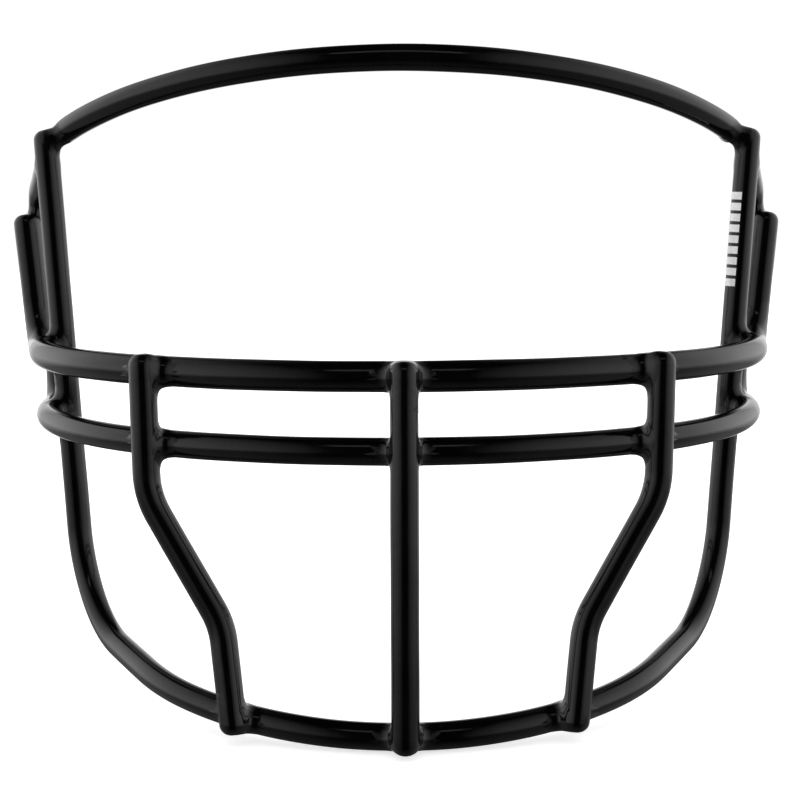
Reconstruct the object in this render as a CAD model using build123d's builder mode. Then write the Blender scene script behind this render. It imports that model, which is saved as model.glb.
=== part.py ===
from build123d import *
import os
from math import cos, degrees, radians, sin, tan

# Face guard of an American football helmet: seven bent steel wires, welded where they
# meet and dipped in a plastic coating.
# Frame: +X to the wearer's left, +Y towards the wearer's face, +Z up. The origin is on
# the mirror plane, at the centre of the box that the guard fits in.

# Wire and coating, mm
WIRE_D = 5.7            # steel of every wire but the upper crossbar
HEAVY_WIRE_D = 6.35     # steel of the upper crossbar
COATING = 0.72          # coating on a wire
HEAVY_COATING = 0.8     # coating on the upper crossbar
STEEL_END_ROUND = 1.5   # rounding of a cut steel end
COATED_END_ROUND = 2.4  # rounding of a coated end
BUTT_STAND_OFF = 4.0    # from a wire's end to the axis of the wire that it is welded to

# Upper crossbar: a flat U in plan, with both ends turned up as clip bars
UPPER_Z = 5.9
UPPER_FRONT_Y = -53.9
UPPER_FRONT_R = 119.6
UPPER_FRONT_ANGLE = 32.9
UPPER_CORNER_R = 91.4
UPPER_SPLAY = 12.7
UPPER_BACK_Y = 54.5
CLIP_BEND_R = 12.2
CLIP_FOOT_X = 111.9
CLIP_TOP = Vector(115.1, 54.2, 45.7)

# Lower crossbar: a similar U, with both ends turned up as tall loops that come forward
# again to the temples
LOWER_Z = -12.8
LOWER_FRONT_Y = -54.3
LOWER_FRONT_R = 117.6
LOWER_FRONT_ANGLE = 27.9
LOWER_CORNER_R = 95.1
LOWER_SPLAY = 4.5
LOOP_BACK_Y = 61.9
LOOP_BEND_R = 13.5
LOOP_TOP = Vector(112.6, 61.9, 50.9)
LOOP_JOIN_Z = 60.8      # where the loop meets the frame wire

# Frame wire: temple, jaw, chin corner and the corner point ahead of the chin
TEMPLE = Vector(103.0, 27.6, 70.2)
JAW = Vector(94.3, 25.6, -74.2)
JAW_R = 31.8
CHIN_CORNER = Vector(60.6, -33.8, -81.2)
CHIN_CORNER_R = 73.8
CHIN_APEX = Vector(0, -69.0, -88.0)
CHIN_R = 83.0

# Brow arch: one arc, in a plane that falls from the brow to the temples
ARCH_FRONT = Vector(0, -19.8, 86.5)
ARCH_R = 119.2
ARCH_HALF_ANGLE = 55.3
ARCH_FALL = 19.5

# Uprights
CENTRE_TOP = Vector(0, -60.1, 10.3)
CENTRE_BOTTOM = Vector(0, -61.9, -88.2)
SIDE_POINTS = (
    Vector(66.4, -41.1, 10.7),
    Vector(65.8, -41.0, -25.8),
    Vector(46.6, -46.7, -58.6),
    Vector(43.6, -50.8, -86.3),
)
SIDE_BEND_R = 21.5

# Welds
BEAD_R = 3.3            # bead at a crossing of two wires
TEMPLE_BEAD_R = 3.7     # bead between the arch's end and the frame wire
BEAD_START = 0.2        # part of the way between two axes at which a bead starts
COLLAR_R = 4.6          # collar round a wire that ends on the side of another
COLLAR_START = 1.2
COLLAR_LENGTH = 4.6
COLLAR_TAPER = 10
LAP_LENGTH = 11.0       # lap weld between a clip bar and the loop behind it
LAP_WIDTH = 4.4
LAP_PLACES = (0.15, 0.76)  # along the straight of the clip bar, from its foot
CROSSING_REACH = 20.0   # how far a rough point may be from the crossing that it names

# Marking on the left side leg of the frame wire: a stripe of short dashes
STRIPE_BOTTOM_Z = 23.8
STRIPE_LENGTH = 27.6
DASH_COUNT = 9
DASH_LENGTH = 2.2
STRIPE_T = 0.12
STRIPE_GAP = 0.01       # between the stripe and the coating
STRIPE_FACING = 52.0    # degrees from straight ahead, towards the middle
STRIPE_HALF_ANGLE = 30.0

os.makedirs("parts", exist_ok=True)


def on_leg(z):
    """Point at height z on the axis of the frame wire's left side leg."""
    return JAW + (TEMPLE - JAW) * ((z - JAW.Z) / (TEMPLE.Z - JAW.Z))


def mirrored(point):
    return Vector(-point.X, point.Y, point.Z)


def crossbar_path(z, front_y, front_r, front_angle, corner_r, splay, back_y, ends, radii):
    """A U in plan: front arc, corner arcs and splayed legs, then the turned-up ends."""
    with BuildLine() as path:
        front = JernArc((0, front_y, z), (1, 0), front_r, front_angle)
        corner = JernArc(front @ 1, front % 1, corner_r, 90 - splay - front_angle)
        leg = (back_y - (corner @ 1).Y) / cos(radians(splay))
        back = corner @ 1 + (corner % 1) * leg
        FilletPolyline(corner @ 1, back, *ends, radius=radii)
        mirror(about=Plane.YZ)
    return path.wire()


def upper_crossbar_path(inset):
    up = (CLIP_TOP - Vector(CLIP_FOOT_X, UPPER_BACK_Y, UPPER_Z)).normalized()
    return crossbar_path(
        UPPER_Z, UPPER_FRONT_Y, UPPER_FRONT_R, UPPER_FRONT_ANGLE, UPPER_CORNER_R,
        UPPER_SPLAY, UPPER_BACK_Y, [CLIP_TOP - up * inset], [CLIP_BEND_R],
    )


def lower_crossbar_path():
    join = on_leg(LOOP_JOIN_Z)
    end = join + (LOOP_TOP - join).normalized() * BUTT_STAND_OFF
    return crossbar_path(
        LOWER_Z, LOWER_FRONT_Y, LOWER_FRONT_R, LOWER_FRONT_ANGLE, LOWER_CORNER_R,
        LOWER_SPLAY, LOOP_BACK_Y, [LOOP_TOP, end], [LOOP_BEND_R, LOOP_BEND_R],
    )


def frame_path(inset):
    temple = TEMPLE - (TEMPLE - JAW).normalized() * inset
    half = [temple, JAW, CHIN_CORNER]
    other_half = [mirrored(point) for point in reversed(half)]
    radii = [JAW_R, CHIN_CORNER_R, CHIN_R, CHIN_CORNER_R, JAW_R]
    with BuildLine() as path:
        FilletPolyline(*half, CHIN_APEX, *other_half, radius=radii)
    return path.wire()


def brow_arch_path(inset):
    fall = radians(ARCH_FALL)
    half_angle = ARCH_HALF_ANGLE - degrees(inset / ARCH_R)
    plane = Plane(ARCH_FRONT, x_dir=(1, 0, 0), z_dir=(0, sin(fall), cos(fall)))
    with BuildLine(plane) as path:
        CenterArc((0, ARCH_R), ARCH_R, 270 - half_angle, 2 * half_angle)
    return path.wire()


def centre_upright_path(inset):
    along = (CENTRE_TOP - CENTRE_BOTTOM).normalized() * inset
    with BuildLine() as path:
        Line(CENTRE_TOP - along, CENTRE_BOTTOM + along)
    return path.wire()


def side_upright_path(inset, side):
    top, shoulder, knee, bottom = SIDE_POINTS
    top = top - (top - shoulder).normalized() * inset
    bottom = bottom - (bottom - knee).normalized() * inset
    points = [Vector(side * p.X, p.Y, p.Z) for p in (top, shoulder, knee, bottom)]
    with BuildLine() as path:
        FilletPolyline(*points, radius=[SIDE_BEND_R, SIDE_BEND_R])
    return path.wire()


def rod(path, diameter, end_round=0):
    """A round wire swept along its path, with rounded or plain cut ends."""
    with BuildPart() as bar:
        with BuildSketch(Plane(path @ 0, z_dir=path % 0)):
            Circle(diameter / 2)
        sweep(path=path)
        if end_round:
            fillet(bar.faces().filter_by(GeomType.PLANE).edges(), end_round)
    return bar.part


def crossing(name_a, name_b, near):
    """Closest points of two wire axes, within reach of a rough point."""
    found = []
    for edge_a in COATED_PATHS[name_a].edges():
        for edge_b in COATED_PATHS[name_b].edges():
            distance, point_a, point_b = edge_a.distance_to_with_closest_points(edge_b)
            if (point_a - near).length < CROSSING_REACH:
                found.append((distance, point_a, point_b))
    return min(found, key=lambda item: item[0])[1:]


def bead(name_a, name_b, near, radius=BEAD_R):
    """Round bead between the axes of two crossing wires."""
    point_a, point_b = crossing(name_a, name_b, near)
    across = point_b - point_a
    with BuildPart() as made:
        with BuildSketch(Plane(point_a + across * BEAD_START, z_dir=across)):
            Circle(radius)
        extrude(amount=across.length * (1 - 2 * BEAD_START))
    return made.part


def collar(axis_point, end):
    """Tapered collar round a wire that ends on the side of another."""
    out = (end - axis_point).normalized()
    with BuildPart() as made:
        with BuildSketch(Plane(axis_point + out * COLLAR_START, z_dir=out)):
            Circle(COLLAR_R)
        extrude(amount=COLLAR_LENGTH, taper=COLLAR_TAPER)
    return made.part


def lap(place):
    """Long bead in the valley between a clip bar and the loop behind it."""
    straights = COATED_PATHS["upper_crossbar"].edges().filter_by(GeomType.LINE)
    clip_bar = straights.sort_by(Axis.X)[-1]
    loop = COATED_PATHS["lower_crossbar"]
    point_b, point_a = loop.distance_to_with_closest_points(clip_bar @ place)[1:]
    across = point_b - point_a
    section = Plane(point_a + across * BEAD_START, x_dir=clip_bar % place, z_dir=across)
    with BuildPart() as made:
        with BuildSketch(section):
            SlotOverall(LAP_LENGTH, LAP_WIDTH)
        extrude(amount=across.length * (1 - 2 * BEAD_START))
    return made.part


def both_sides(*solids):
    """Solids of the left side, with their mirror images."""
    with BuildPart() as pair:
        for solid in solids:
            add(solid)
        mirror(about=Plane.YZ)
    return pair.part


def with_middle(pair, middle):
    """A left and right pair of beads and the one between them."""
    with BuildPart() as row:
        add(pair)
        add(middle)
    return row.part


# Axes of the wires: to the ends of the coating, and to the ends of the steel
COATED_PATHS = {
    "brow_arch": brow_arch_path(0),
    "frame": frame_path(0),
    "upper_crossbar": upper_crossbar_path(0),
    "lower_crossbar": lower_crossbar_path(),
    "centre_upright": centre_upright_path(0),
    "left_upright": side_upright_path(0, 1),
    "right_upright": side_upright_path(0, -1),
}
STEEL_PATHS = {
    "brow_arch": brow_arch_path(COATING),
    "frame": frame_path(COATING),
    "upper_crossbar": upper_crossbar_path(HEAVY_COATING),
    "lower_crossbar": lower_crossbar_path(),
    "centre_upright": centre_upright_path(COATING),
    "left_upright": side_upright_path(COATING, 1),
    "right_upright": side_upright_path(COATING, -1),
}
# Steel wires. The lower crossbar's ends are cut plain, inside the weld on the frame wire
steel = {}
for wire, path in STEEL_PATHS.items():
    steel_d = HEAVY_WIRE_D if wire == "upper_crossbar" else WIRE_D
    steel[wire] = rod(path, steel_d, 0 if wire == "lower_crossbar" else STEEL_END_ROUND)

# Coated outlines of the wires
outline = {}
for wire, path in COATED_PATHS.items():
    coated_d = WIRE_D + 2 * COATING
    if wire == "upper_crossbar":
        coated_d = HEAVY_WIRE_D + 2 * HEAVY_COATING
    outline[wire] = rod(path, coated_d, 0 if wire == "lower_crossbar" else COATED_END_ROUND)

# Weld beads as plain solids, each with the wires that it joins
loop_join = on_leg(LOOP_JOIN_Z)
upright_top, upright_foot = SIDE_POINTS[0], SIDE_POINTS[-1]
WELDS = {
    "temple_welds": (
        both_sides(bead("brow_arch", "frame", TEMPLE, TEMPLE_BEAD_R)),
        ("brow_arch", "frame"),
    ),
    "loop_welds": (
        both_sides(collar(loop_join, COATED_PATHS["lower_crossbar"] @ 1)),
        ("lower_crossbar", "frame"),
    ),
    "clip_bar_welds": (
        both_sides(*[lap(place) for place in LAP_PLACES]),
        ("upper_crossbar", "lower_crossbar"),
    ),
    "upper_side_welds": (
        both_sides(bead("frame", "upper_crossbar", on_leg(UPPER_Z))),
        ("frame", "upper_crossbar"),
    ),
    "lower_side_welds": (
        both_sides(bead("frame", "lower_crossbar", on_leg(LOWER_Z))),
        ("frame", "lower_crossbar"),
    ),
    "upper_front_welds": (
        with_middle(
            both_sides(bead("left_upright", "upper_crossbar", upright_top)),
            bead("centre_upright", "upper_crossbar", CENTRE_TOP),
        ),
        ("upper_crossbar", "centre_upright", "left_upright", "right_upright"),
    ),
    "lower_front_welds": (
        with_middle(
            both_sides(bead("left_upright", "lower_crossbar", SIDE_POINTS[1])),
            bead("centre_upright", "lower_crossbar", CENTRE_TOP + (0, 0, LOWER_Z - UPPER_Z)),
        ),
        ("lower_crossbar", "centre_upright", "left_upright", "right_upright"),
    ),
    "chin_welds": (
        with_middle(
            both_sides(bead("left_upright", "frame", upright_foot)),
            bead("centre_upright", "frame", CENTRE_BOTTOM),
        ),
        ("frame", "centre_upright", "left_upright", "right_upright"),
    ),
}

# Wires: the bent and cut steel
for wire, solid in steel.items():
    with BuildPart() as core:
        add(solid)
    core.part.label = f"{wire}_wire"
    export_step(core.part, f"parts/{wire}_wire.step")

# Coatings: each wire's skin, open where a weld bead comes through
for wire, solid in outline.items():
    with BuildPart() as coating:
        add(solid)
        add(steel[wire], mode=Mode.SUBTRACT)
        for beads, joined in WELDS.values():
            if wire in joined:
                add(beads, mode=Mode.SUBTRACT)
    coating.part.label = f"{wire}_coating"
    export_step(coating.part, f"parts/{wire}_coating.step")

# Weld beads, fitted round the steel that they join
for name, (beads, joined) in WELDS.items():
    with BuildPart() as weld:
        add(beads)
        for wire in joined:
            add(steel[wire], mode=Mode.SUBTRACT)
    weld.part.label = name
    export_step(weld.part, f"parts/{name}.step")

# Marking stripe: a row of thin dashes on the inner front of the left side leg
stripe_foot = on_leg(STRIPE_BOTTOM_Z)
leg_up = (TEMPLE - JAW).normalized()
facing = Vector(-sin(radians(STRIPE_FACING)), -cos(radians(STRIPE_FACING)), 0)
stripe_r = WIRE_D / 2 + COATING + STRIPE_GAP
wedge_r = 2 * stripe_r
wedge_half = wedge_r * tan(radians(STRIPE_HALF_ANGLE))
dash_step = (STRIPE_LENGTH - DASH_LENGTH) / (DASH_COUNT - 1)
with BuildPart() as stripe:
    for dash in range(DASH_COUNT):
        dash_foot = stripe_foot + leg_up * dash * dash_step
        with BuildSketch(Plane(dash_foot, x_dir=facing, z_dir=leg_up)):
            Circle(stripe_r + STRIPE_T)
            Circle(stripe_r, mode=Mode.SUBTRACT)
            with BuildLine():
                Polyline((0, 0), (wedge_r, wedge_half), (wedge_r, -wedge_half), close=True)
            make_face(mode=Mode.INTERSECT)
        extrude(amount=DASH_LENGTH)
stripe.part.label = "marking_stripe"
export_step(stripe.part, "parts/marking_stripe.step")
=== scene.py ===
from math import cos, pi, radians, sin, tan

import bmesh
import bpy
import numpy as np
from mathutils import Matrix, Vector


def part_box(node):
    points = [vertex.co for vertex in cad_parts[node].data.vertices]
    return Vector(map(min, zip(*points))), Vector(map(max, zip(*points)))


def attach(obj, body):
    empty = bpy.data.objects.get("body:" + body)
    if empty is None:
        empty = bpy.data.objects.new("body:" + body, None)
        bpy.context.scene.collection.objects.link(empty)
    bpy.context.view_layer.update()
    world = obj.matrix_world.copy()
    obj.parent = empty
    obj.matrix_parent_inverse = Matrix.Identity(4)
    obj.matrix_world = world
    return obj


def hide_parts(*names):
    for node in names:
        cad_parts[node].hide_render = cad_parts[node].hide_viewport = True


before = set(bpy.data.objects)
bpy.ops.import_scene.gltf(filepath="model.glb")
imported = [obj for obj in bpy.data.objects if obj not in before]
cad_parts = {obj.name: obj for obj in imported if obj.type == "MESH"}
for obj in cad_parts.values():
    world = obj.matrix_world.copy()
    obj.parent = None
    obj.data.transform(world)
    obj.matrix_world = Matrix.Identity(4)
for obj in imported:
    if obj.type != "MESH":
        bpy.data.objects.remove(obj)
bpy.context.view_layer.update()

# The face guard's looks: a smooth tube for each coated wire, a flowing fillet at each
# weld, and the studio round them. Lengths are in millimetres, and turn into metres where
# a mesh, a light or the camera is made.
MM = 0.001

# Coated wires, as in the CAD model apart from their cut ends, which are rounder here
COATED_R = 3.57
HEAVY_COATED_R = 3.975
END_ROUND = 3.0
BUTT_STAND_OFF = 4.0

# Upper crossbar: a U in plan whose ends turn up as clip bars
UPPER_Z = 5.9
UPPER_FRONT_Y = -53.9
UPPER_FRONT_R = 119.6
UPPER_FRONT_ANGLE = 32.9
UPPER_CORNER_R = 91.4
UPPER_SPLAY = 12.7
UPPER_BACK_Y = 54.5
CLIP_BEND_R = 12.2
CLIP_FOOT_X = 111.9
CLIP_TOP = Vector((115.1, 54.2, 45.7))

# Lower crossbar: a U in plan whose ends turn up as loops and come forward to the frame wire
LOWER_Z = -12.8
LOWER_FRONT_Y = -54.3
LOWER_FRONT_R = 117.6
LOWER_FRONT_ANGLE = 27.9
LOWER_CORNER_R = 95.1
LOWER_SPLAY = 4.5
LOOP_BACK_Y = 61.9
LOOP_BEND_R = 13.5
LOOP_TOP = Vector((112.6, 61.9, 50.9))
LOOP_JOIN_Z = 60.8

# Frame wire: from the temple down the side leg, round the jaw and under the chin
TEMPLE = Vector((103.0, 27.6, 70.2))
JAW = Vector((94.3, 25.6, -74.2))
JAW_R = 31.8
CHIN_CORNER = Vector((60.6, -33.8, -81.2))
CHIN_CORNER_R = 73.8
CHIN_APEX = Vector((0, -69.0, -88.0))
CHIN_R = 83.0

# Brow arch: one arc in a plane that falls to the back
ARCH_FRONT = Vector((0, -19.8, 86.5))
ARCH_R = 119.2
ARCH_HALF_ANGLE = 55.3
ARCH_FALL = 19.5

# Uprights
CENTRE_TOP = Vector((0, -60.1, 10.3))
CENTRE_BOTTOM = Vector((0, -61.9, -88.2))
SIDE_POINTS = (
    Vector((66.4, -41.1, 10.7)),
    Vector((65.8, -41.0, -25.8)),
    Vector((46.6, -46.7, -58.6)),
    Vector((43.6, -50.8, -86.3)),
)
SIDE_BEND_R = 21.5

# Tube meshes
SIDES = 56                # faces round a tube
STEP = 1.3                # length of a tube's face
END_RINGS = 7

# Slow unevenness of the dipped coating: waves that run along a wire and round it
SAG_HEIGHT = 0.022
SAG_LONG = 9.1            # a wave's length over two pi
SAG_SHORT = 4.3
SAG_TWIST = 14.7
SAG_SHORT_SHARE = 0.7     # height next to the long wave's
SAG_TWIST_SHARE = 0.6
SAG_SHRINK = 1.4          # keeps most of the coating just inside the CAD one

# Weld fillets
WELD_DETAIL = 5           # subdivisions of the ball that a fillet is shaped from
WELD_SINK = 0.05          # how far a fillet's edge runs under the coating
WELD_EDGE = 0.07          # depth of fillet at which it comes out of the coating
WELD_LUMPS = 0.03         # height of the ripples on a fillet
LUMP_WAVES = ((1.9, 0.8, 1.3), (-0.7, 1.7, 1.1))
CROSSING_BLEND = 4.4      # width over which two surfaces flow together
CROSSING_REACH = 10.5     # radius of the ball that holds the fillet
TEMPLE_BLEND = 4.6
LOOP_BLEND = 2.8
BUTT_REACH = 12.0
BUTT_CENTRE = 0.35        # share of the way from the frame wire to the end that meets it
LAP_BLEND = 3.2
LAP_REACH = 13.0
LAP_HALF_LENGTH = 4.4
LAP_BEAD_R = 2.5
LAP_PLACES = (0.15, 0.76)  # shares of the clip bar's straight height
CLIP_BEND_SHARE = 0.3     # share of the clip bar's height that its bend takes
NEARBY = 22               # how far from a rough place its crossing is looked for
LINE_MARGIN = 12          # length of line kept past a fillet's ball
LINE_EXTENSION = 20       # a cut end's line runs on this far, and the cut then ends it
HALVINGS = 24             # steps that find a fillet's surface along a ray


def mirrored(point):
    return Vector((-point.x, point.y, point.z))


def on_leg(z):
    """Point at height z on the axis of the frame wire's left side leg."""
    return JAW + (TEMPLE - JAW) * ((z - JAW.z) / (TEMPLE.z - JAW.z))


def crossbar(z, front_y, front_r, front_angle, corner_r, splay, back_y, ends, radii):
    """Corner points and bend radii of a U in plan with turned-up ends, from right to left."""
    a = radians(front_angle)
    leg = Vector((sin(radians(splay)), cos(radians(splay)), 0))
    front = Vector((0, front_y + front_r - front_r / cos(a), z))
    arc_end = Vector((front_r * sin(a), front_y + front_r - front_r * cos(a), z))
    tangent_length = corner_r * tan(radians(90 - splay - front_angle) / 2)
    corner = arc_end + Vector((cos(a), sin(a), 0)) * tangent_length
    back = corner + leg * ((back_y - corner.y) / leg.y)
    half = [corner, back, *ends]
    points = [mirrored(p) for p in reversed(half)] + [front] + half
    return points, [*reversed(radii), corner_r, front_r, corner_r, *radii]


def upper_crossbar():
    return crossbar(
        UPPER_Z, UPPER_FRONT_Y, UPPER_FRONT_R, UPPER_FRONT_ANGLE, UPPER_CORNER_R,
        UPPER_SPLAY, UPPER_BACK_Y, [CLIP_TOP], [CLIP_BEND_R],
    )


def lower_crossbar():
    join = on_leg(LOOP_JOIN_Z)
    end = join + (LOOP_TOP - join).normalized() * BUTT_STAND_OFF
    return crossbar(
        LOWER_Z, LOWER_FRONT_Y, LOWER_FRONT_R, LOWER_FRONT_ANGLE, LOWER_CORNER_R,
        LOWER_SPLAY, LOOP_BACK_Y, [LOOP_TOP, end], [LOOP_BEND_R, LOOP_BEND_R],
    )


def frame_wire():
    half = [CHIN_CORNER, JAW, TEMPLE]
    points = [mirrored(p) for p in reversed(half)] + [CHIN_APEX] + half
    return points, [JAW_R, CHIN_CORNER_R, CHIN_R, CHIN_CORNER_R, JAW_R]


def brow_arch():
    a, fall = radians(ARCH_HALF_ANGLE), radians(ARCH_FALL)
    back = Vector((0, cos(fall), -sin(fall)))
    end = ARCH_FRONT + back * ARCH_R * (1 - cos(a)) + Vector((ARCH_R * sin(a), 0, 0))
    peak = ARCH_FRONT + back * ARCH_R * (1 - 1 / cos(a))
    return [mirrored(end), peak, end], [ARCH_R]


def side_upright(side):
    return [Vector((side * p.x, p.y, p.z)) for p in SIDE_POINTS], [SIDE_BEND_R] * 2


def bent_line(points, radii):
    """Evenly stepped points along straight runs and the arcs that round their corners."""
    line = [points[0]]

    def run_to(target):
        start = line[-1]
        length = (target - start).length
        count = max(1, round(length / STEP))
        if length > 1e-6:
            line.extend(start.lerp(target, (i + 1) / count) for i in range(count))

    for before, corner, after, radius in zip(points, points[1:], points[2:], radii):
        into, out = (corner - before).normalized(), (after - corner).normalized()
        turn = into.angle(out)
        run_to(corner - into * radius * tan(turn / 2))
        start = line[-1]
        inward = (out - into * into.dot(out)).normalized()
        count = max(2, round(radius * turn / STEP))
        for i in range(1, count + 1):
            a = turn * i / count
            line.append(start + into * radius * sin(a) + inward * radius * (1 - cos(a)))
    run_to(points[-1])
    return np.array([tuple(p) for p in line])


def directions(line):
    """Unit direction of the line at each of its points."""
    step = np.gradient(line, axis=0)
    step[0], step[-1] = line[1] - line[0], line[-1] - line[-2]
    return step / np.linalg.norm(step, axis=1)[:, None]


def sections(along):
    """Two unit vectors across the line at each point, turned as little as possible."""
    aside = (0.0, 1.0, 0.0) if abs(along[0][1]) < 0.9 else (1.0, 0.0, 0.0)
    across = np.cross(along[0], aside)
    across /= np.linalg.norm(across)
    pairs = []
    for direction in along:
        across = across - direction * np.dot(across, direction)
        across /= np.linalg.norm(across)
        pairs.append((across, np.cross(direction, across)))
    return pairs


def new_object(name, verts, faces, material):
    """A smooth-shaded piece from millimetre coordinates, riding on the guard's one body."""
    mesh = bpy.data.meshes.new(name)
    mesh.from_pydata([tuple(v) for v in np.asarray(verts) * MM], [], faces)
    shell = bmesh.new()
    shell.from_mesh(mesh)
    bmesh.ops.recalc_face_normals(shell, faces=shell.faces)
    for face in shell.faces:
        face.smooth = True
    shell.to_mesh(mesh)
    shell.free()
    mesh.materials.append(material)
    piece = bpy.data.objects.new(name, mesh)
    bpy.context.scene.collection.objects.link(piece)
    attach(piece, "root")
    return piece


def sag(distance, angle, phase):
    """Height of the coating's slow waves at a place along and round a wire."""
    long_wave = sin(distance / SAG_LONG + phase)
    short_wave = SAG_SHORT_SHARE * sin(distance / SAG_SHORT + 2 * phase + angle)
    twist = SAG_TWIST_SHARE * sin(2 * angle + distance / SAG_TWIST + phase)
    return SAG_HEIGHT * (long_wave + short_wave + twist - SAG_SHRINK)


def stations(lengths, radius, end_round):
    """Rings of a tube: the line point each one starts from, its shift along, its radius."""
    total, last = lengths[-1], len(lengths) - 1
    turns = [pi / 2 * i / END_RINGS for i in range(END_RINGS)] if end_round else []
    rounding = [(end_round * (1 - cos(a)), radius - end_round * (1 - sin(a))) for a in turns]
    rings = [(0, inset, ring_r) for inset, ring_r in rounding]
    for i, distance in enumerate(lengths):
        if end_round <= distance <= total - end_round:
            rings.append((i, 0, radius))
    return rings + [(last, -inset, ring_r) for inset, ring_r in reversed(rounding)]


def tube(name, line, radius, end_round, phase, material):
    """Closed tube round a line. Its ends are rounded cuts, or plain where they are hidden."""
    along = directions(line)
    pairs = sections(along)
    lengths = np.concatenate([[0], np.cumsum(np.linalg.norm(np.diff(line, axis=0), axis=1))])
    rings = stations(lengths, radius, end_round)
    verts = []
    for i, shift, ring_r in rings:
        centre = line[i] + along[i] * shift
        for k in range(SIDES):
            a = 2 * pi * k / SIDES
            r = ring_r + sag(lengths[i] + shift, a, phase)
            verts.append(centre + (pairs[i][0] * cos(a) + pairs[i][1] * sin(a)) * r)
    faces = []
    for ring in range(len(rings) - 1):
        for k in range(SIDES):
            a, b = ring * SIDES + k, ring * SIDES + (k + 1) % SIDES
            faces.append((a, b, b + SIDES, a + SIDES))
    for ring, centre in ((0, line[0]), (len(rings) - 1, line[-1])):
        middle = len(verts)
        verts.append(centre)
        for k in range(SIDES):
            faces.append((ring * SIDES + k, ring * SIDES + (k + 1) % SIDES, middle))
    return new_object(name, verts, faces, material)


def distance_to_line(points, line):
    """Distance from each point to the nearest of a line's straight pieces."""
    start, piece = line[:-1], np.diff(line, axis=0)
    gap = points[:, None, :] - start[None]
    share = (gap * piece).sum(2) / (piece * piece).sum(1)
    nearest = gap - np.clip(share, 0, 1)[:, :, None] * piece
    return np.sqrt((nearest**2).sum(2)).min(1)


def bar_distance(points, bar, centre, reach):
    """Signed distance to a coated wire, with its rounded cut ends where it has them."""
    line, radius, cut = bar
    along = directions(line)
    near = np.linalg.norm(line - centre, axis=1) < reach + LINE_MARGIN
    first, last = np.flatnonzero(near)[[0, -1]]
    local = line[max(first - 1, 0):last + 2]
    if not cut:
        return distance_to_line(points, local) - radius
    if first == 0:
        local = np.vstack([line[0] - along[0] * LINE_EXTENSION, local])
    if last == len(line) - 1:
        local = np.vstack([local, line[-1] + along[-1] * LINE_EXTENSION])
    radial = distance_to_line(points, local) - (radius - END_ROUND)
    past_ends = np.maximum((points - line[-1]) @ along[-1], (line[0] - points) @ along[0])
    axial = past_ends + END_ROUND
    outside = np.sqrt(np.maximum(radial, 0) ** 2 + np.maximum(axial, 0) ** 2)
    return np.minimum(np.maximum(radial, axial), 0) + outside - END_ROUND


def smooth_union(a, b, blend):
    """Smaller of two distances, rounded where they are alike."""
    share = np.maximum(blend - np.abs(a - b), 0) / blend
    return np.minimum(a, b) - share * share * blend / 4


def unit_ball():
    """Directions to the corners of a finely divided ball, and its faces."""
    ball = bmesh.new()
    bmesh.ops.create_icosphere(ball, subdivisions=WELD_DETAIL, radius=1)
    rays = np.array([tuple(v.co) for v in ball.verts])
    faces = [tuple(v.index for v in face.verts) for face in ball.faces]
    ball.free()
    return rays / np.linalg.norm(rays, axis=1)[:, None], faces


def weld_fillet(centre, bars, blend, reach, bead=None):
    """A closed fillet that flows between two bars, or between a bead and the two.

    Its edge runs just under their coating.
    """
    rays, faces = unit_ball()

    def level(distances):
        points = centre + rays * distances[:, None]
        first, second = (bar_distance(points, bar, centre, reach) for bar in bars)
        plain = np.minimum(first, second)
        if bead is None:
            joined = smooth_union(first, second, blend)
        else:
            line, radius = bead
            joined = smooth_union(distance_to_line(points, line) - radius, plain, blend)
        depth = plain - joined
        shown = np.clip(depth / WELD_EDGE, 0, 1)
        lumps = np.sin(points @ LUMP_WAVES[0]) * np.sin(points @ LUMP_WAVES[1])
        joined = joined + WELD_LUMPS * lumps * np.clip(depth, 0, 1)
        return np.maximum(joined + WELD_SINK * (1 - shown), distances - reach)

    inner, outer = np.zeros(len(rays)), np.full(len(rays), reach * 1.01)
    for _ in range(HALVINGS):
        middle = (inner + outer) / 2
        inside = level(middle) < 0
        inner, outer = np.where(inside, middle, inner), np.where(inside, outer, middle)
    return centre + rays * inner[:, None], faces


def closest(line_a, line_b, near=None):
    """Closest points of two lines, or those nearest to a rough place."""
    if near is not None:
        line_a = line_a[np.linalg.norm(line_a - np.array(near), axis=1) < NEARBY]
    gaps = np.linalg.norm(line_a[:, None] - line_b[None], axis=2)
    a, b = np.unravel_index(gaps.argmin(), gaps.shape)
    return line_a[a], line_b[b]


# Materials. Heights of bump are in metres.
FINE_BUMP = 0.00002       # drawing lines in the steel, pores in the ink
GRAIN_SHARE = 0.12        # height of the coating's fine grain next to its orange peel


def new_material(name):
    material = bpy.data.materials.new(name)
    material.use_nodes = True
    nodes = material.node_tree.nodes
    return material, nodes, material.node_tree.links, nodes["Principled BSDF"]


def noise(nodes, links, coords, scale, detail, roughness=0.5):
    texture = nodes.new("ShaderNodeTexNoise")
    texture.inputs["Scale"].default_value = scale
    texture.inputs["Detail"].default_value = detail
    texture.inputs["Roughness"].default_value = roughness
    links.new(coords, texture.inputs["Vector"])
    return texture.outputs["Fac"]


def ranged(nodes, links, value, low, high, out_low, out_high):
    """Value from low..high spread over out_low..out_high."""
    node = nodes.new("ShaderNodeMapRange")
    node.inputs["From Min"].default_value = low
    node.inputs["From Max"].default_value = high
    node.inputs["To Min"].default_value = out_low
    node.inputs["To Max"].default_value = out_high
    links.new(value, node.inputs["Value"])
    return node.outputs["Result"]


def blended_colour(nodes, links, value, dark, light):
    """Dark to light colour over the middle of a noise's range."""
    ramp = nodes.new("ShaderNodeValToRGB")
    for element, place, colour in zip(ramp.color_ramp.elements, (0.3, 0.7), (dark, light)):
        element.position = place
        element.color = (*colour, 1)
    links.new(value, ramp.inputs["Fac"])
    return ramp.outputs["Color"]


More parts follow.
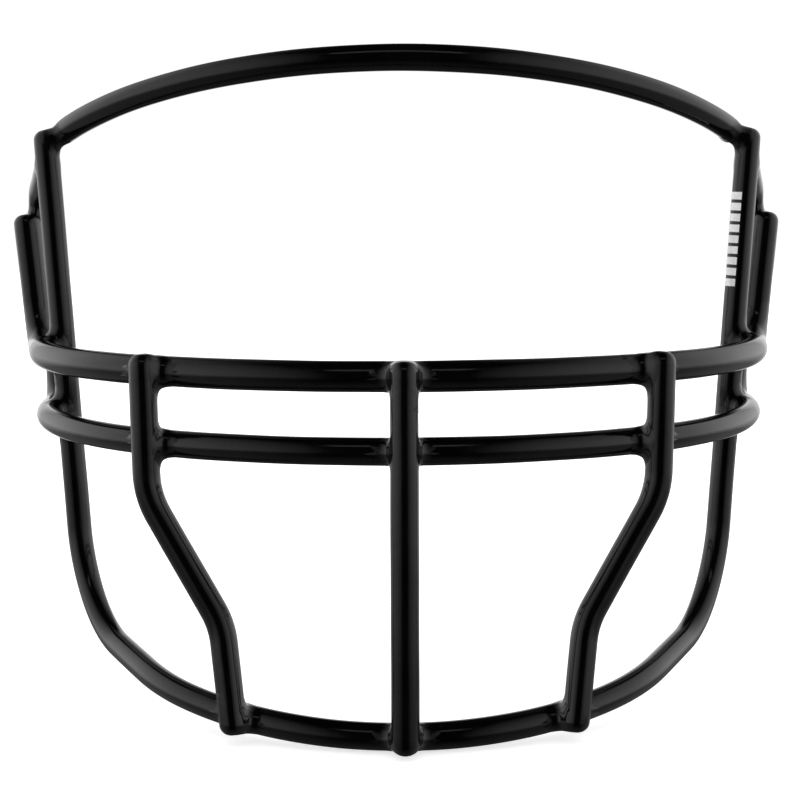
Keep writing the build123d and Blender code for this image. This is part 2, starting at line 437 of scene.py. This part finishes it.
def roughness_from(nodes, links, value, smooth, rough):
    return ranged(nodes, links, value, 0.3, 0.7, smooth, rough)


def bump(nodes, links, height, distance, below=None):
    """Bump over a height of distance, on top of another bump if there is one below."""
    node = nodes.new("ShaderNodeBump")
    node.inputs["Distance"].default_value = distance
    links.new(height, node.inputs["Height"])
    if below is not None:
        links.new(below, node.inputs["Normal"])
    return node.outputs["Normal"]


def coating_material(name, peel_height, lump_height):
    """Glossy black dip coating: deep black, a slight orange peel and faint dull patches."""
    material, nodes, links, shader = new_material(name)
    coords = nodes.new("ShaderNodeTexCoord").outputs["Object"]
    patches = noise(nodes, links, coords, scale=160, detail=4)
    grain = noise(nodes, links, coords, scale=2600, detail=2)
    peel = noise(nodes, links, coords, scale=620, detail=2)
    lumps = noise(nodes, links, coords, scale=190, detail=2)
    dark, light = (0.0005, 0.0005, 0.0006), (0.0012, 0.0012, 0.0013)
    links.new(blended_colour(nodes, links, patches, dark, light), shader.inputs["Base Color"])
    dullness = roughness_from(nodes, links, patches, smooth=0.09, rough=0.16)
    links.new(dullness, shader.inputs["Roughness"])
    lumpy = bump(nodes, links, lumps, lump_height)
    peeled = bump(nodes, links, peel, peel_height, below=lumpy)
    grained = bump(nodes, links, grain, peel_height * GRAIN_SHARE, below=peeled)
    links.new(grained, shader.inputs["Normal"])
    shader.inputs["IOR"].default_value = 1.5
    return material


def steel_material():
    """Drawn steel wire: fine lines and a little variation in its polish."""
    material, nodes, links, shader = new_material("steel_wire")
    coords = nodes.new("ShaderNodeTexCoord").outputs["Object"]
    lines = noise(nodes, links, coords, scale=1800, detail=6, roughness=0.7)
    patches = noise(nodes, links, coords, scale=90, detail=3)
    dark, light = (0.43, 0.43, 0.44), (0.60, 0.60, 0.61)
    links.new(blended_colour(nodes, links, patches, dark, light), shader.inputs["Base Color"])
    polish = roughness_from(nodes, links, lines, smooth=0.28, rough=0.46)
    links.new(polish, shader.inputs["Roughness"])
    links.new(bump(nodes, links, lines, FINE_BUMP), shader.inputs["Normal"])
    shader.inputs["Metallic"].default_value = 1.0
    return material


def marking_material():
    """White printing ink, thin in places, on the glossy coating."""
    material, nodes, links, shader = new_material("white_marking")
    coords = nodes.new("ShaderNodeTexCoord").outputs["Object"]
    pores = noise(nodes, links, coords, scale=2200, detail=5, roughness=0.65)
    patches = noise(nodes, links, coords, scale=420, detail=3)
    dark, light = (0.70, 0.70, 0.69), (0.86, 0.86, 0.85)
    links.new(blended_colour(nodes, links, patches, dark, light), shader.inputs["Base Color"])
    dullness = roughness_from(nodes, links, pores, smooth=0.35, rough=0.6)
    links.new(dullness, shader.inputs["Roughness"])
    links.new(bump(nodes, links, pores, FINE_BUMP), shader.inputs["Normal"])
    return material


COATING = coating_material("black_coating", peel_height=0.000012, lump_height=0.00003)
WELD_COATING = coating_material("coated_weld", peel_height=0.000014, lump_height=0.0001)
STEEL = steel_material()
MARKING = marking_material()

# Coated wires: corner points, bend radii, coated radius, and whether the ends are cut ends
WIRES = {
    "brow_arch": (*brow_arch(), COATED_R, True),
    "frame": (*frame_wire(), COATED_R, True),
    "upper_crossbar": (*upper_crossbar(), HEAVY_COATED_R, True),
    "lower_crossbar": (*lower_crossbar(), COATED_R, False),
    "centre_upright": ([CENTRE_TOP, CENTRE_BOTTOM], [], COATED_R, True),
    "left_upright": (*side_upright(1), COATED_R, True),
    "right_upright": (*side_upright(-1), COATED_R, True),
}
bars = {}
for phase, (wire, (points, radii, radius, cut)) in enumerate(WIRES.items()):
    line = bent_line(points, radii)
    bars[wire] = (line, radius, cut)
    piece = tube(f"{wire}_skin", line, radius, END_ROUND if cut else 0, phase, COATING)
    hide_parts(f"{wire}_coating")


# Welds
def crossing_fillet(name_a, name_b, near):
    """Fillet where one wire crosses another."""
    point_a, point_b = closest(bars[name_a][0], bars[name_b][0], near)
    pair = [bars[name_a], bars[name_b]]
    return weld_fillet((point_a + point_b) / 2, pair, CROSSING_BLEND, CROSSING_REACH)


def butt_fillet(name, blend):
    """Fillet where a wire's left end meets the side of the frame wire."""
    end = bars[name][0][-1]
    on_frame = closest(bars["frame"][0], np.array([end]))[0]
    centre = on_frame + (end - on_frame) * BUTT_CENTRE
    return weld_fillet(centre, [bars[name], bars["frame"]], blend, BUTT_REACH)


def lap_fillet(place):
    """Long bead in the valley between a clip bar and the loop behind it."""
    foot = Vector((CLIP_FOOT_X, UPPER_BACK_Y, UPPER_Z)).lerp(CLIP_TOP, CLIP_BEND_SHARE)
    on_clip = np.array(foot.lerp(CLIP_TOP, place))
    on_loop = closest(bars["lower_crossbar"][0], np.array([on_clip]), on_clip)[0]
    along = np.array((CLIP_TOP - foot).normalized()) * LAP_HALF_LENGTH
    share = HEAVY_COATED_R / (HEAVY_COATED_R + COATED_R)
    centre = on_clip + (on_loop - on_clip) * share
    bead = np.array([centre - along, centre + along])
    pair = [bars["upper_crossbar"], bars["lower_crossbar"]]
    return weld_fillet(centre, pair, LAP_BLEND, LAP_REACH, (bead, LAP_BEAD_R))


def flipped(fillet):
    """The same fillet on the other side of the guard."""
    verts, faces = fillet
    return np.asarray(verts) * (-1, 1, 1), [tuple(reversed(face)) for face in faces]


def weld_piece(name, left, middle=()):
    """One object for a weld node: its left fillets, their mirror images, any middle ones."""
    all_verts, all_faces = [], []
    for verts, faces in [*left, *map(flipped, left), *middle]:
        start = len(all_verts)
        all_verts.extend(verts)
        all_faces.extend(tuple(start + i for i in face) for face in faces)
    piece = new_object(f"{name}_skin", all_verts, all_faces, WELD_COATING)
    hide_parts(name)


top, shoulder, _, foot = SIDE_POINTS
centre_low = Vector((0, CENTRE_TOP.y, LOWER_Z))
weld_piece("temple_welds", [butt_fillet("brow_arch", TEMPLE_BLEND)])
weld_piece("loop_welds", [butt_fillet("lower_crossbar", LOOP_BLEND)])
weld_piece("clip_bar_welds", [lap_fillet(place) for place in LAP_PLACES])
weld_piece("upper_side_welds", [crossing_fillet("frame", "upper_crossbar", on_leg(UPPER_Z))])
weld_piece("lower_side_welds", [crossing_fillet("frame", "lower_crossbar", on_leg(LOWER_Z))])
for node, bar, side_place, centre_place in (
    ("upper_front_welds", "upper_crossbar", top, CENTRE_TOP),
    ("lower_front_welds", "lower_crossbar", shoulder, centre_low),
    ("chin_welds", "frame", foot, CENTRE_BOTTOM),
):
    left = crossing_fillet("left_upright", bar, side_place)
    weld_piece(node, [left], [crossing_fillet("centre_upright", bar, centre_place)])

# CAD nodes that stay, with new materials: the steel inside the coatings, and the marking
for name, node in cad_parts.items():
    if name.endswith("_wire") or name == "marking_stripe":
        node.data.materials.clear()
        node.data.materials.append(MARKING if name == "marking_stripe" else STEEL)

# Floor: a pale table that fades into the white backdrop. It glows a little more with
# distance, and the glossy bars don't reflect it.
FLOOR_REACH = 3000 * MM
GLOW_FROM = 150 * MM
GLOW_TO = 600 * MM
NEAR_GLOW = 0.72
FAR_GLOW = 1.1


def floor():
    lowest = min(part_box(name)[0].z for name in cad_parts)
    corners = [(-1, -1), (1, -1), (1, 1), (-1, 1)]
    verts = [(x * FLOOR_REACH, y * FLOOR_REACH, lowest) for x, y in corners]
    mesh = bpy.data.meshes.new("floor")
    mesh.from_pydata(verts, [], [(0, 1, 2, 3)])
    sheet = bpy.data.objects.new("floor", mesh)
    bpy.context.scene.collection.objects.link(sheet)
    sheet.visible_glossy = False
    paint, nodes, links, shader = new_material("floor_paint")
    coords = nodes.new("ShaderNodeTexCoord").outputs["Object"]
    tone = noise(nodes, links, coords, scale=3, detail=2)
    colour = blended_colour(nodes, links, tone, (0.93, 0.93, 0.93), (0.95, 0.95, 0.95))
    links.new(colour, shader.inputs["Base Color"])
    shader.inputs["Roughness"].default_value = 0.9
    shader.inputs["Specular IOR Level"].default_value = 0.1
    shader.inputs["Emission Color"].default_value = (1, 1, 1, 1)
    away = nodes.new("ShaderNodeVectorMath")
    away.operation = "LENGTH"
    links.new(coords, away.inputs[0])
    glow = ranged(
        nodes, links, away.outputs["Value"], GLOW_FROM, GLOW_TO, NEAR_GLOW, FAR_GLOW
    )
    links.new(glow, shader.inputs["Emission Strength"])
    mesh.materials.append(paint)


floor()

# Studio room, white to the camera. What the bars reflect depends on the direction: each
# tuple gives two shares of a direction along an axis, and the strength of light at each.
SEEN_WHITE = 1.05
SIDE_WALLS = (0.32, 1.0, 0.01, 1.1)
BACK_CORNERS = (0.05, 0.45, 0.0, 0.5)
WALL_FOOT = (-0.3, -0.05, 0.26, 1.0)      # the walls darken towards the floor
BACKDROP = (0.86, 0.98, 0.0, 1.0)
FLOOR_LIGHT = (-0.95, -0.5, 0.09, 0.0)


def studio():
    world = bpy.data.worlds.new("studio")
    bpy.context.scene.world = world
    world.use_nodes = True
    nodes, links = world.node_tree.nodes, world.node_tree.links

    def combined(operation, first, second=None):
        node = nodes.new("ShaderNodeMath")
        node.operation = operation
        links.new(first, node.inputs[0])
        if second is not None:
            links.new(second, node.inputs[1])
        return node.outputs["Value"]

    split = nodes.new("ShaderNodeSeparateXYZ")
    links.new(nodes.new("ShaderNodeTexCoord").outputs["Generated"], split.inputs["Vector"])
    x, y, z = (split.outputs[axis] for axis in "XYZ")
    sideways = combined("ABSOLUTE", x)
    corner = combined("MULTIPLY", sideways, y)
    side_walls = ranged(nodes, links, sideways, *SIDE_WALLS)
    back_corners = ranged(nodes, links, corner, *BACK_CORNERS)
    walls = combined("ADD", side_walls, back_corners)
    lit_walls = combined("MULTIPLY", walls, ranged(nodes, links, z, *WALL_FOOT))
    room = combined("ADD", lit_walls, ranged(nodes, links, y, *BACKDROP))
    whole = combined("ADD", room, ranged(nodes, links, z, *FLOOR_LIGHT))
    level = nodes.new("ShaderNodeMix")
    level.inputs["B"].default_value = SEEN_WHITE
    seen = nodes.new("ShaderNodeLightPath").outputs["Is Camera Ray"]
    links.new(seen, level.inputs["Factor"])
    links.new(whole, level.inputs["A"])
    links.new(level.outputs["Result"], nodes["Background"].inputs["Strength"])
    nodes["Background"].inputs["Color"].default_value = (1, 1, 1, 1)


def soft_light(name, place, width, height, power):
    """A rectangle of light that faces the guard's middle."""
    light = bpy.data.lights.new(name, "AREA")
    light.shape = "RECTANGLE"
    light.size = width * MM
    light.size_y = height * MM
    light.energy = power
    holder = bpy.data.objects.new(name, light)
    bpy.context.scene.collection.objects.link(holder)
    holder.rotation_euler = (-Vector(place)).to_track_quat("-Z", "Y").to_euler()
    holder.location = Vector(place) * MM
    return holder


studio()
top_light = soft_light("top_light", (0, 0, 1100), width=1800, height=1400, power=7)
top_light.visible_glossy = False
soft_light("front_light", (0, -750, 900), width=700, height=220, power=0.25)

# Camera: ahead of the guard and a little above it
FOCAL_LENGTH = 1615 / 800     # in widths of the picture
SENSOR = 36.0                 # its width, in the camera's own millimetres
CAMERA_D = 400.0
AIM = Vector((-0.93, -53.9, 0.06))
YAW, PITCH, ROLL = 0.014, 0.119, 0.004
level_x = Vector((cos(YAW), -sin(YAW), 0))
level_z = Vector((sin(YAW) * sin(PITCH), cos(YAW) * sin(PITCH), cos(PITCH)))
ahead = Vector((sin(YAW) * cos(PITCH), cos(YAW) * cos(PITCH), -sin(PITCH)))
right = level_x * cos(ROLL) - level_z * sin(ROLL)
up = level_x * sin(ROLL) + level_z * cos(ROLL)
camera = bpy.data.objects.new("camera", bpy.data.cameras.new("camera"))
bpy.context.scene.collection.objects.link(camera)
camera.data.sensor_width = SENSOR
camera.data.lens = SENSOR * FOCAL_LENGTH
camera.data.clip_start = 0.01
turned = Matrix((right, up, -ahead)).transposed().to_4x4()
camera.matrix_world = Matrix.Translation((AIM - ahead * CAMERA_D) * MM) @ turned
bpy.context.scene.camera = camera
bpy.context.scene.view_settings.view_transform = "Standard"
